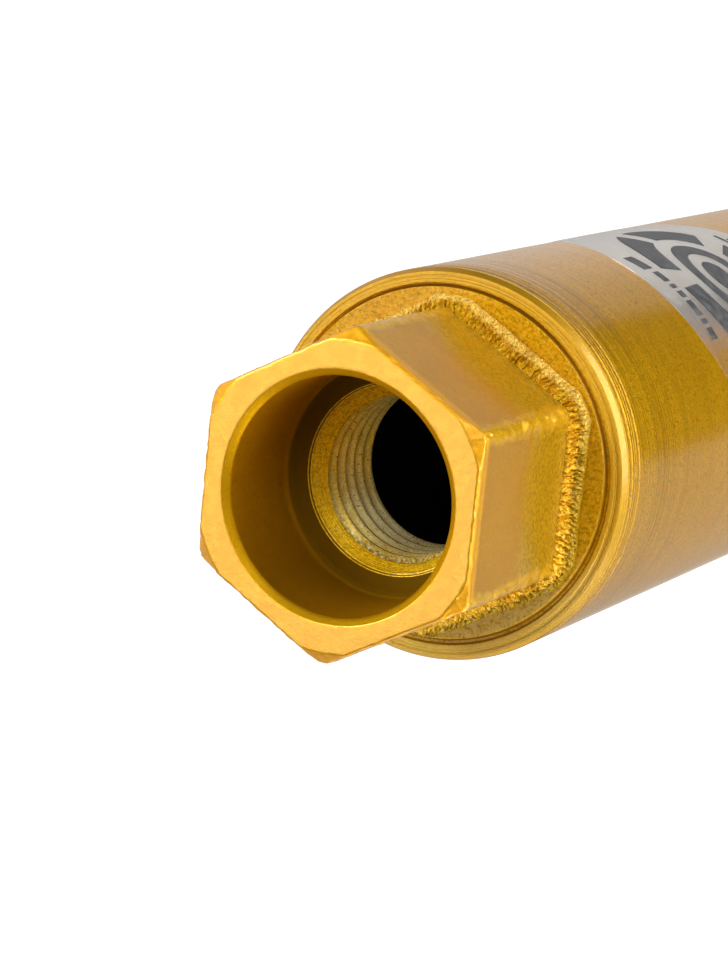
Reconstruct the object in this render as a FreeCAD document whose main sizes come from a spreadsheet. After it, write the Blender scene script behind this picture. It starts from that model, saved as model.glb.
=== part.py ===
import FreeCAD, Part
import os

import Sketcher

# Diamond core bit for drilling machines, standing on its crown.
# Z runs up the bit's axis, the origin is in the middle of the crown's cutting face.
# The +X side is the middle of one flat of the hexagonal hub.

# Driving dimensions in millimetres. Angles are in degrees.
SIZES = (
    # Crown: the sintered diamond segments and the solder under them.
    ("cut_diameter", 51.0),
    ("cut_clearance", 0.5),
    ("segment_count", 5),
    ("segment_length", 24.0),
    ("segment_thickness", 3.5),
    ("segment_height", 10.0),
    ("segment_bevel", 0.6),
    ("braze_thickness", 0.3),
    # Barrel: a steel tube, which clears the cut hole all round.
    ("barrel_wall", 2.2),
    ("barrel_length", 354.0),
    # Turned weld seam between the barrel and the end plate.
    ("seam_width", 3.6),
    ("seam_root", 1.0),
    ("seam_groove_count", 3),
    ("seam_groove_width", 0.5),
    ("seam_groove_depth", 0.14),
    ("seam_groove_pitch", 1.1),
    # End plate: a turned disc with a spigot that fits inside the barrel.
    ("plate_flange", 3.2),
    ("plate_thickness", 6.0),
    ("plate_edge_bevel", 0.8),
    ("plate_fit", 0.05),
    ("land_inset", 2.6),
    ("groove_wall", 0.25),
    ("groove_depth", 0.55),
    ("groove_corner", 0.2),
    ("ridge_inset", 0.75),
    ("ridge_depth", 0.2),
    ("rim_width", 0.94),
    ("rim_depth", 0.05),
    ("rim_chamfer_drop", 1.25),
    # Hub: hexagonal bar, bored and threaded, with a spigot in the plate.
    ("hub_across_flats", 36.0),
    ("hub_height", 29.3),
    ("hub_chamfer_diameter", 37.8),
    ("hub_chamfer_angle", 30.0),
    ("spigot_diameter", 28.0),
    ("spigot_length", 3.2),
    ("spigot_bevel", 0.5),
    ("counterbore_diameter", 29.1),
    ("counterbore_depth", 16.7),
    ("counterbore_corner", 0.8),
    ("mouth_bevel", 0.8),
    ("entry_diameter", 23.4),
    ("entry_depth", 1.2),
    ("lead_in_angle", 45.0),
    ("thread_bore", 20.0),
    ("back_bevel", 1.5),
    # Fillet weld around the foot of the hexagon.
    ("weld_leg", 1.8),
    ("weld_height", 3.2),
    ("weld_top_leg", 0.2),
    ("weld_bulge", 0.3),
    ("weld_corner_leg", 0.7),
    ("weld_corner_top_leg", 0.1),
    # Round film label on the barrel.
    ("label_diameter", 49.0),
    ("label_film", 0.12),
    ("label_gap", 35.9),
    ("label_angle", 58.0),
    # How far a cutting profile runs past the surface it cuts.
    ("overrun", 1.0),
)

# Sizes and levels that follow from the driving dimensions.
DERIVED = (
    ("cut_r", "Sizes.cut_diameter / 2"),
    ("cut_inner_r", "cut_r - Sizes.segment_thickness"),
    ("cut_bevel_r", "cut_r - Sizes.segment_bevel"),
    ("cut_inner_bevel_r", "cut_inner_r + Sizes.segment_bevel"),
    ("segment_angle", "Sizes.segment_length / cut_r * 180 / pi"),
    ("segment_top", "Sizes.segment_height"),
    ("segment_bevel_level", "Sizes.segment_bevel"),
    ("barrel_r", "cut_r - Sizes.cut_clearance"),
    ("bore_r", "barrel_r - Sizes.barrel_wall"),
    ("barrel_start", "segment_top + Sizes.braze_thickness"),
    ("barrel_end", "barrel_start + Sizes.barrel_length"),
    ("seam_bevel", "(Sizes.seam_width - Sizes.seam_root) / 2"),
    ("seam_bottom", "barrel_end - seam_bevel"),
    ("flange_root", "barrel_end + Sizes.seam_root"),
    ("seam_top", "flange_root + seam_bevel"),
    ("seam_middle", "barrel_end + Sizes.seam_root / 2"),
    ("seam_groove_r", "barrel_r - Sizes.seam_groove_depth"),
    ("seam_groove_clear_r", "barrel_r + Sizes.seam_groove_depth"),
    ("seam_groove_span", "Sizes.seam_groove_pitch * (Sizes.seam_groove_count - 1)"),
    ("seam_groove_first", "seam_middle - seam_groove_span / 2"),
    ("seam_groove_over", "seam_groove_first + Sizes.seam_groove_width"),
    ("seam_groove_under", "seam_groove_first - Sizes.seam_groove_width"),
    ("plate_face", "flange_root + Sizes.plate_flange"),
    ("plate_back", "plate_face - Sizes.plate_thickness"),
    ("plate_spigot_r", "bore_r - Sizes.plate_fit"),
    ("plate_spigot_bevel_r", "plate_spigot_r - Sizes.plate_edge_bevel"),
    ("plate_back_bevel", "plate_back + Sizes.plate_edge_bevel"),
    ("plate_bore_r", "spigot_r + Sizes.plate_fit"),
    ("land_r", "barrel_r - Sizes.land_inset"),
    ("groove_r", "land_r + Sizes.groove_wall"),
    ("groove_level", "plate_face - Sizes.groove_depth"),
    ("ridge_r", "groove_r + Sizes.ridge_inset"),
    ("ridge_level", "plate_face - Sizes.ridge_depth"),
    ("rim_r", "ridge_r + Sizes.rim_width"),
    ("rim_level", "plate_face - Sizes.rim_depth"),
    ("rim_foot", "rim_level - Sizes.rim_chamfer_drop"),
    ("hub_face", "plate_face + Sizes.hub_height"),
    ("hub_corner_r", "Sizes.hub_across_flats / 2 / cos(30 deg)"),
    ("hub_chamfer_r", "Sizes.hub_chamfer_diameter / 2"),
    ("hub_chamfer_run", "hub_corner_r - hub_chamfer_r + Sizes.overrun"),
    ("hub_clear_r", "hub_chamfer_r + hub_chamfer_run"),
    ("hub_chamfer_level", "hub_face - hub_chamfer_run * tan(Sizes.hub_chamfer_angle * 1 deg)"),
    ("spigot_r", "Sizes.spigot_diameter / 2"),
    ("spigot_bevel_r", "spigot_r - Sizes.spigot_bevel"),
    ("hub_end", "plate_face - Sizes.spigot_length"),
    ("spigot_bevel_level", "hub_end + Sizes.spigot_bevel"),
    ("counterbore_r", "Sizes.counterbore_diameter / 2"),
    ("mouth_r", "counterbore_r + Sizes.mouth_bevel"),
    ("mouth_level", "hub_face - Sizes.mouth_bevel"),
    ("mouth_clear_r", "mouth_r + Sizes.overrun"),
    ("mouth_clear", "hub_face + Sizes.overrun"),
    ("shoulder", "hub_face - Sizes.counterbore_depth"),
    ("entry_r", "Sizes.entry_diameter / 2"),
    ("entry_level", "shoulder - Sizes.entry_depth"),
    ("thread_r", "Sizes.thread_bore / 2"),
    ("lead_in_level", "entry_level - (entry_r - thread_r) * tan(Sizes.lead_in_angle * 1 deg)"),
    ("back_bevel_r", "thread_r + Sizes.back_bevel"),
    ("back_bevel_level", "hub_end + Sizes.back_bevel"),
    ("back_clear_r", "back_bevel_r + Sizes.overrun"),
    ("back_clear", "hub_end - Sizes.overrun"),
    ("weld_top", "plate_face + Sizes.weld_height"),
    ("weld_middle", "plate_face + Sizes.weld_height / 2"),
    ("weld_foot_apothem", "Sizes.hub_across_flats / 2 + Sizes.weld_leg"),
    ("weld_top_apothem", "Sizes.hub_across_flats / 2 + Sizes.weld_top_leg"),
    ("weld_middle_apothem", "(weld_foot_apothem + weld_top_apothem) / 2 + Sizes.weld_bulge"),
    ("weld_foot_r", "hub_corner_r + Sizes.weld_corner_leg"),
    ("weld_top_r", "hub_corner_r + Sizes.weld_corner_top_leg"),
    ("weld_clear_r", "weld_foot_apothem / cos(30 deg) + Sizes.overrun"),
    ("label_r", "barrel_r + Sizes.label_film"),
    ("label_middle", "plate_face - Sizes.label_gap - Sizes.label_diameter / 2"),
    ("label_half_height", "Sizes.label_diameter / 2"),
    ("label_half_width", "barrel_r * sin(Sizes.label_diameter / 2 / barrel_r * 180 / pi * 1 deg)"),
)

doc = FreeCAD.newDocument("diamond_core_bit")
parts = []


def make_sheet(name, rows, sign):
    """A sheet with one row for each value. The sign before a value makes it a formula or a number."""
    sheet = doc.addObject("Spreadsheet::Sheet", name)
    for row, (alias, value) in enumerate(rows, start=1):
        sheet.set(f"A{row}", alias)
        sheet.set(f"B{row}", f"{sign}{value}")
        sheet.setAlias(f"B{row}", alias)
    doc.recompute()
    return sheet


sizes = make_sheet("Sizes", SIZES, "")
derived = make_sheet("Derived", DERIVED, "=")
SIZE_NAMES = {alias for alias, value in SIZES}


def ref(alias):
    """The expression that reads a value from its sheet."""
    return f"Sizes.{alias}" if alias in SIZE_NAMES else f"Derived.{alias}"


def value(alias):
    """The number that a sheet holds now."""
    sheet = sizes if alias in SIZE_NAMES else derived
    return float(sheet.get(alias))


def make_body(label):
    """An empty body, which becomes one piece of the bit."""
    body = doc.addObject("PartDesign::Body", label)
    body.Label = label
    parts.append(body)
    return body


def make_sketch(body, name, role, level=None):
    """A sketch on one of the body's own origin planes, raised to a level of the sheet."""
    sketch = body.newObject("Sketcher::SketchObject", name)
    plane = next(item for item in body.Origin.OriginFeatures if item.Role == role)
    sketch.AttachmentSupport = [(plane, "")]
    sketch.MapMode = "FlatFace"
    if level:
        sketch.setExpression("AttachmentOffset.Base.z", ref(level))
    return sketch


def pin(sketch, kind, line, axis, alias):
    """Holds a line's first point at a named distance from the origin, or on an axis if none is named."""
    if alias is None:
        sketch.addConstraint(Sketcher.Constraint("PointOnObject", line, 1, axis))
        return
    index = sketch.addConstraint(Sketcher.Constraint(kind, -1, 1, line, 1, value(alias)))
    sketch.setExpression(f"Constraints[{index}]", ref(alias))


def draw_profile(body, name, corners):
    """A closed outline in the XZ plane. Each corner is a named radius and a named level."""
    sketch = make_sketch(body, name, "XZ_Plane")
    points = []
    for radius, level in corners:
        x = value(radius) if radius else 0
        y = value(level) if level else 0
        points.append(FreeCAD.Vector(x, y, 0))
    count = len(points)
    for i in range(count):
        sketch.addGeometry(Part.LineSegment(points[i], points[(i + 1) % count]), False)
    for i in range(count):
        sketch.addConstraint(Sketcher.Constraint("Coincident", i, 2, (i + 1) % count, 1))
    for i, (radius, level) in enumerate(corners):
        pin(sketch, "DistanceX", i, -2, radius)
        pin(sketch, "DistanceY", i, -1, level)
    return sketch


def turn(body, name, corners, cut=False, angle=None):
    """Revolves an outline about the bit's axis, or cuts with it."""
    sketch = draw_profile(body, f"{name}_profile", corners)
    kind = "PartDesign::Groove" if cut else "PartDesign::Revolution"
    feature = body.newObject(kind, name)
    feature.Profile = (sketch, [""])
    feature.ReferenceAxis = (sketch, ["V_Axis"])
    feature.Angle = 360
    if angle:
        feature.Midplane = True
        feature.setExpression("Angle", ref(angle))
    doc.recompute()
    return feature


def draw_hexagon(body, name, apothem, level):
    """A hexagon at a level, with the middle of one side on the +X axis."""
    sketch = make_sketch(body, name, "XY_Plane", level)
    expression = f"{apothem} / cos(30 deg)"
    guess = value("hub_corner_r")
    corner = FreeCAD.Vector(guess, 0, 0)
    points = []
    for i in range(6):
        turned = FreeCAD.Rotation(FreeCAD.Vector(0, 0, 1), 60 * i - 30)
        points.append(turned.multVec(corner))
    for i in range(6):
        sketch.addGeometry(Part.LineSegment(points[i], points[(i + 1) % 6]), False)
    axis = FreeCAD.Vector(0, 0, 1)
    circle = sketch.addGeometry(Part.Circle(FreeCAD.Vector(0, 0, 0), axis, guess), True)
    sketch.addConstraint(Sketcher.Constraint("Coincident", circle, 3, -1, 1))
    for i in range(6):
        sketch.addConstraint(Sketcher.Constraint("Coincident", i, 2, (i + 1) % 6, 1))
        sketch.addConstraint(Sketcher.Constraint("PointOnObject", i, 1, circle))
    for i in range(1, 6):
        sketch.addConstraint(Sketcher.Constraint("Equal", 0, i))
    sketch.addConstraint(Sketcher.Constraint("Vertical", 0))
    index = sketch.addConstraint(Sketcher.Constraint("Radius", circle, guess))
    sketch.setExpression(f"Constraints[{index}]", expression)
    return sketch


def round_edge(body, name, radius, level, size):
    """Fillets the round edge that lies at a named radius and level."""
    base = body.Tip
    doc.recompute()
    found = []
    for number, edge in enumerate(base.Shape.Edges, start=1):
        curve = edge.Curve
        if not isinstance(curve, Part.Circle):
            continue
        near_radius = abs(curve.Radius - value(radius)) < 0.001
        near_level = abs(curve.Center.z - value(level)) < 0.001
        if near_radius and near_level:
            found.append(f"Edge{number}")
    feature = body.newObject("PartDesign::Fillet", name)
    feature.Base = (base, found)
    feature.setExpression("Radius", ref(size))
    doc.recompute()
    return feature


def face_piece_round(body, index):
    """Turns a repeated piece about the bit's axis to its own place in the ring."""
    body.Placement.Rotation = FreeCAD.Rotation(FreeCAD.Vector(0, 0, 1), 1)
    body.setExpression("Placement.Rotation.Angle", f"{index} * 360 / Sizes.segment_count")


def make_segment(index):
    """One sintered diamond segment, with both edges of its cutting face bevelled."""
    body = make_body(f"segment_{index + 1}")
    corners = (
        ("cut_inner_bevel_r", None),
        ("cut_bevel_r", None),
        ("cut_r", "segment_bevel_level"),
        ("cut_r", "segment_top"),
        ("cut_inner_r", "segment_top"),
        ("cut_inner_r", "segment_bevel_level"),
    )
    turn(body, "sintered_block", corners, angle="segment_angle")
    face_piece_round(body, index)


def make_braze(index):
    """The layer of solder that holds one segment to the end of the barrel."""
    body = make_body(f"braze_joint_{index + 1}")
    corners = (
        ("bore_r", "segment_top"),
        ("barrel_r", "segment_top"),
        ("barrel_r", "barrel_start"),
        ("bore_r", "barrel_start"),
    )
    turn(body, "solder_layer", corners, angle="segment_angle")
    face_piece_round(body, index)


def make_barrel():
    """The steel tube, with its upper end bevelled for the weld."""
    body = make_body("barrel")
    corners = (
        ("bore_r", "barrel_start"),
        ("barrel_r", "barrel_start"),
        ("barrel_r", "seam_bottom"),
        ("bore_r", "barrel_end"),
    )
    turn(body, "tube_wall", corners)


def make_end_plate():
    """The turned disc that closes the barrel, with the ring groove near its edge."""
    body = make_body("end_plate")
    corners = (
        ("plate_bore_r", "plate_back"),
        ("plate_spigot_bevel_r", "plate_back"),
        ("plate_spigot_r", "plate_back_bevel"),
        ("plate_spigot_r", "flange_root"),
        ("barrel_r", "seam_top"),
        ("barrel_r", "rim_foot"),
        ("rim_r", "rim_level"),
        ("ridge_r", "ridge_level"),
        ("groove_r", "groove_level"),
        ("land_r", "plate_face"),
        ("plate_bore_r", "plate_face"),
    )
    turn(body, "turned_disc", corners)
    round_edge(body, "groove_floor", "groove_r", "groove_level", "groove_corner")


def make_seam_weld():
    """The weld between the barrel and the end plate, turned flush, with its tool grooves."""
    body = make_body("barrel_seam_weld")
    ring = (
        ("plate_spigot_r", "barrel_end"),
        ("bore_r", "barrel_end"),
        ("barrel_r", "seam_bottom"),
        ("barrel_r", "seam_top"),
        ("plate_spigot_r", "flange_root"),
    )
    turn(body, "weld_ring", ring)
    groove = (
        ("seam_groove_r", "seam_groove_first"),
        ("seam_groove_clear_r", "seam_groove_under"),
        ("seam_groove_clear_r", "seam_groove_over"),
    )
    first = turn(body, "tool_groove", groove, cut=True)
    pattern = body.newObject("PartDesign::LinearPattern", "tool_grooves")
    pattern.Originals = [first]
    pattern.Direction = (first.Profile[0], ["V_Axis"])
    pattern.setExpression("Length", ref("seam_groove_span"))
    pattern.setExpression("Occurrences", ref("seam_groove_count"))
    body.Tip = pattern
    doc.recompute()


def make_hub():
    """The hexagonal hub: face chamfer, counterbore, bore for the thread, and spigot."""
    body = make_body("hub")
    hexagon = draw_hexagon(body, "hexagon", "Sizes.hub_across_flats / 2", "plate_face")
    bar = body.newObject("PartDesign::Pad", "hexagonal_bar")
    bar.Profile = (hexagon, [""])
    bar.setExpression("Length", ref("hub_height"))
    doc.recompute()
    spigot = (
        (None, "hub_end"),
        ("spigot_bevel_r", "hub_end"),
        ("spigot_r", "spigot_bevel_level"),
        ("spigot_r", "plate_face"),
        (None, "plate_face"),
    )
    turn(body, "spigot", spigot)
    chamfer = (
        ("hub_chamfer_r", "hub_face"),
        ("hub_clear_r", "hub_chamfer_level"),
        ("hub_clear_r", "hub_face"),
    )
    turn(body, "face_chamfer", chamfer, cut=True)
    bore = (
        (None, "mouth_clear"),
        ("mouth_clear_r", "mouth_clear"),
        ("counterbore_r", "mouth_level"),
        ("counterbore_r", "shoulder"),
        ("entry_r", "shoulder"),
        ("entry_r", "entry_level"),
        ("thread_r", "lead_in_level"),
        ("thread_r", "back_bevel_level"),
        ("back_clear_r", "back_clear"),
        (None, "back_clear"),
    )
    turn(body, "stepped_bore", bore, cut=True)
    round_edge(body, "counterbore_floor", "counterbore_r", "shoulder", "counterbore_corner")


def make_hub_weld():
    """The fillet weld that runs around the hexagon's foot, thinner at the six corners."""
    body = make_body("hub_weld")
    sections = (
        ("weld_foot", "Derived.weld_foot_apothem", "plate_face"),
        ("weld_belly", "Derived.weld_middle_apothem", "weld_middle"),
        ("weld_crest", "Derived.weld_top_apothem", "weld_top"),
    )
    sketches = [draw_hexagon(body, *section) for section in sections]
    doc.recompute()
    bead = body.newObject("PartDesign::AdditiveLoft", "bead")
    bead.Profile = (sketches[0], [""])
    bead.Sections = [(sketch, [""]) for sketch in sketches[1:]]
    bead.Ruled = True
    doc.recompute()
    corners = (
        ("weld_foot_r", "plate_face"),
        ("weld_clear_r", "plate_face"),
        ("weld_clear_r", "weld_top"),
        ("weld_top_r", "weld_top"),
    )
    turn(body, "corner_trim", corners, cut=True)
    hexagon = draw_hexagon(body, "hub_seat", "Sizes.hub_across_flats / 2", "plate_face")
    seat = body.newObject("PartDesign::Pocket", "hexagonal_seat")
    seat.Profile = (hexagon, [""])
    seat.Reversed = True
    seat.setExpression("Length", ref("weld_height"))
    doc.recompute()


def make_label():
    """The round film label, wrapped on the barrel."""
    cylinders = []
    for name, radius in (("label_outside", "label_r"), ("label_inside", "barrel_r")):
        cylinder = doc.addObject("Part::Cylinder", name)
        cylinder.setExpression("Radius", ref(radius))
        cylinder.setExpression("Height", ref("label_diameter"))
        cylinder.setExpression("Placement.Base.z", "Derived.label_middle - Sizes.label_diameter / 2")
        cylinders.append(cylinder)
    sleeve = doc.addObject("Part::Cut", "label_sleeve")
    sleeve.Base, sleeve.Tool = cylinders
    outline = doc.addObject("Part::Ellipse", "label_outline")
    outline.setExpression("MajorRadius", ref("label_half_height"))
    outline.setExpression("MinorRadius", ref("label_half_width"))
    upright = FreeCAD.Rotation(FreeCAD.Vector(0, 1, 0), -90)
    outline.Placement.Rotation = upright
    outline.setExpression("Placement.Base.z", ref("label_middle"))
    punch = doc.addObject("Part::Extrusion", "label_punch")
    punch.Base = outline
    punch.DirMode = "Custom"
    punch.Dir = FreeCAD.Vector(1, 0, 0)
    punch.Solid = True
    punch.setExpression("LengthFwd", "Derived.label_r + Sizes.overrun")
    label = doc.addObject("Part::Common", "label")
    label.Base = sleeve
    label.Tool = punch
    label.Placement.Rotation = FreeCAD.Rotation(FreeCAD.Vector(0, 0, 1), 1)
    label.setExpression("Placement.Rotation.Angle", ref("label_angle"))
    label.Label = "label"
    parts.append(label)
    doc.recompute()


for number in range(int(value("segment_count"))):
    make_segment(number)
    make_braze(number)
make_barrel()
make_end_plate()
make_seam_weld()
make_hub()
make_hub_weld()
make_label()
doc.recompute()

for item in doc.Objects:
    if "Invalid" in item.State or "Error" in item.State:
        raise RuntimeError(f"{item.Label} did not recompute: {item.State}")
os.makedirs("parts", exist_ok=True)
for part in parts:
    shape = part.Shape
    if shape.isNull() or not shape.isValid() or len(shape.Solids) != 1:
        raise RuntimeError(f"{part.Label} is not one valid solid")
for part in parts:
    part.Shape.exportStep(f"parts/{part.Label}.step")
    box = part.Shape.BoundBox
    print(f"{part.Label}: {part.Shape.Volume:.1f} mm3, z {box.ZMin:.2f} to {box.ZMax:.2f}")
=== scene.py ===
import math

import bmesh
import bpy
import numpy as np
from mathutils import Matrix, Vector, noise


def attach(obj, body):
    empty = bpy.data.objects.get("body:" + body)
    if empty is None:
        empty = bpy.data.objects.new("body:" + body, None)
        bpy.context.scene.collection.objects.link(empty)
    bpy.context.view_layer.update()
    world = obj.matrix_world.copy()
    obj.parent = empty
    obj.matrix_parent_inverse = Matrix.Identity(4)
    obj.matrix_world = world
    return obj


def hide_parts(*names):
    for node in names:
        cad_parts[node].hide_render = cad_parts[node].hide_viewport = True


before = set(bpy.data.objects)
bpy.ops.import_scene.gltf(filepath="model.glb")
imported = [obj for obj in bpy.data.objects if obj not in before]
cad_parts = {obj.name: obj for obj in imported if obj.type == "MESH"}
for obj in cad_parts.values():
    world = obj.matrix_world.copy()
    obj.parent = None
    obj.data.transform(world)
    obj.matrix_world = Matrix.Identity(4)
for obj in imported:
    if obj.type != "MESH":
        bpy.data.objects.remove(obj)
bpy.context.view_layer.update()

# Diamond core bit, standing on its crown. Z runs up the bit's axis, as in the frame.
# Lengths are in millimetres up to the materials, and make_mesh turns them into metres.

MM = 0.001
TAU = 2 * math.pi
COLUMNS = 360  # points round each turned piece

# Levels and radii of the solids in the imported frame.
BARREL_R = 25.0
BORE_R = 22.8
BARREL_START = 10.3
SEAM_BOTTOM = 363.0
BARREL_END = 364.3
FLANGE_ROOT = 365.3
SEAM_TOP = 366.6
PLATE_BACK = 362.5
PLATE_FACE = 368.5
PLATE_BORE_R = 14.05
PLUG_R = 22.75
HUB_END = 365.3
HUB_FACE = 397.8
HUB_APOTHEM = 18.0
CHAMFER_R = 18.93
MOUTH_R = 15.35
COUNTERBORE_R = 14.55
SHOULDER = 381.1
ENTRY_R = 11.7
LEAD_IN_TOP = 380.5


def fractal(x, y, z, octaves=3):
    """Smooth noise between about -1 and 1 at a point in millimetres."""
    return noise.fractal(Vector((x, y, z)), 0.9, 2.1, octaves, noise_basis="PERLIN_ORIGINAL")


def polar(r, a, z):
    """The point at a radius, an angle and a level."""
    return (r * math.cos(a), r * math.sin(a), z)


def make_mesh(name, points, faces, sharp=math.radians(40)):
    """A mesh object from points in millimetres, with doubled points merged and smooth shading."""
    mesh = bpy.data.meshes.new(name)
    mesh.from_pydata((np.asarray(points, float) * MM).tolist(), [], faces)
    work = bmesh.new()
    work.from_mesh(mesh)
    bmesh.ops.remove_doubles(work, verts=work.verts, dist=2e-7)
    bmesh.ops.dissolve_degenerate(work, edges=work.edges, dist=1e-7)
    bmesh.ops.recalc_face_normals(work, faces=work.faces)
    work.to_mesh(mesh)
    work.free()
    mesh.polygons.foreach_set("use_smooth", [True] * len(mesh.polygons))
    mesh.set_sharp_from_angle(angle=sharp)
    mesh.update()
    piece = bpy.data.objects.new(name, mesh)
    bpy.context.scene.collection.objects.link(piece)
    return piece


def grid_faces(rows, columns, wrap_columns=True, wrap_rows=False, first=0):
    """Quads of a grid of points that is stored row by row."""
    faces = []
    for i in range(rows if wrap_rows else rows - 1):
        below = (i + 1) % rows
        for j in range(columns if wrap_columns else columns - 1):
            right = (j + 1) % columns
            faces.append((first + i * columns + j, first + i * columns + right,
                          first + below * columns + right, first + below * columns + j))
    return faces


def soften(corners):
    """A closed profile with rounded corners. Each corner is (radius, level, rounding, steps to the next)."""
    count = len(corners)
    spots = [np.array(corner[:2], float) for corner in corners]
    line = []
    for i, (_, _, rounding, steps) in enumerate(corners):
        here = spots[i]
        before = spots[i - 1] - here
        after = spots[(i + 1) % count] - here
        length = np.linalg.norm(after)
        reach = min(rounding, 0.45 * np.linalg.norm(before), 0.45 * length)
        start = here + before / np.linalg.norm(before) * reach
        end = here + after / length * reach
        for t in (0.0, 0.25, 0.5, 0.75, 1.0):
            line.append((1 - t) ** 2 * start + 2 * t * (1 - t) * here + t * t * end)
        if steps > 1:
            next_rounding = corners[(i + 1) % count][2]
            skip = min(0.45, (rounding + 0.05) / length)
            stop = 1 - min(0.45, (next_rounding + 0.05) / length)
            for t in np.linspace(skip, stop, steps):
                line.append(here + after * t)
    return np.array(line)


def lathe(name, corners, shift=None):
    """A turned piece: a closed profile swept round the axis. shift(angle, r, z) moves each point."""
    line = soften(corners)
    points = []
    for r, z in line:
        for j in range(COLUMNS):
            a = TAU * j / COLUMNS
            dr, dz = shift(a, r, z) if shift else (0, 0)
            points.append(polar(r + dr, a, z + dz))
    return make_mesh(name, points, grid_faces(len(line), COLUMNS, wrap_rows=True))


# The hub: a hexagon with rounded upright edges, bored, counterbored and threaded inside.

EDGE_ROUND = 1.5
SHOULDER_ROUND = 0.5
CHAMFER_ANGLE = math.radians(30)
CORNER_R = 20.8
SPIGOT_R = 14.0
THREAD_END_R = 11.5
THREAD_PITCH = 2.5
THREAD_CREST_R = 10.15
THREAD_ROOT_R = 11.45
THREAD_TOP = 380.55
THREAD_BOTTOM = HUB_END
TORN_SIDE = math.radians(235)


def hexagon_r(angle, apothem, rounding):
    """Distance from the axis to a hexagon with rounded corners."""
    off = (angle + math.pi / 6) % (math.pi / 3) - math.pi / 6
    to_corner = math.pi / 6 - abs(off)
    centre = (apothem - rounding) / math.cos(math.pi / 6)
    touch = math.atan2(centre * 0.5, apothem)
    if abs(off) <= touch:
        return apothem / math.cos(off)
    side = centre * math.sin(to_corner)
    return centre * math.cos(to_corner) + math.sqrt(rounding ** 2 - side ** 2)


def hub_angles():
    """Column angles, closer together where the hexagon's corners are rounded."""
    angles = []
    centre = (HUB_APOTHEM - EDGE_ROUND) / math.cos(math.pi / 6)
    touch = math.atan2(centre * 0.5, HUB_APOTHEM)
    for k in range(6):
        middle = k * math.pi / 3
        angles += list(middle + np.linspace(-touch, touch, 44))
        angles += list(middle + np.linspace(touch, math.pi / 3 - touch, 14)[1:-1])
    return np.array(angles)


def thread_r(phase):
    """Radius of the internal thread at a phase from 0 to 1 down one pitch."""
    marks = (0.0, 0.05, 0.08, 0.45, 0.48, 0.52, 0.55, 0.92, 0.95, 1.0)
    crest, root = THREAD_CREST_R, THREAD_ROOT_R
    soft = 0.06
    radii = (crest, crest, crest + soft, root - soft, root, root, root - soft, crest + soft, crest, crest)
    return float(np.interp(phase, marks, radii))


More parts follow.
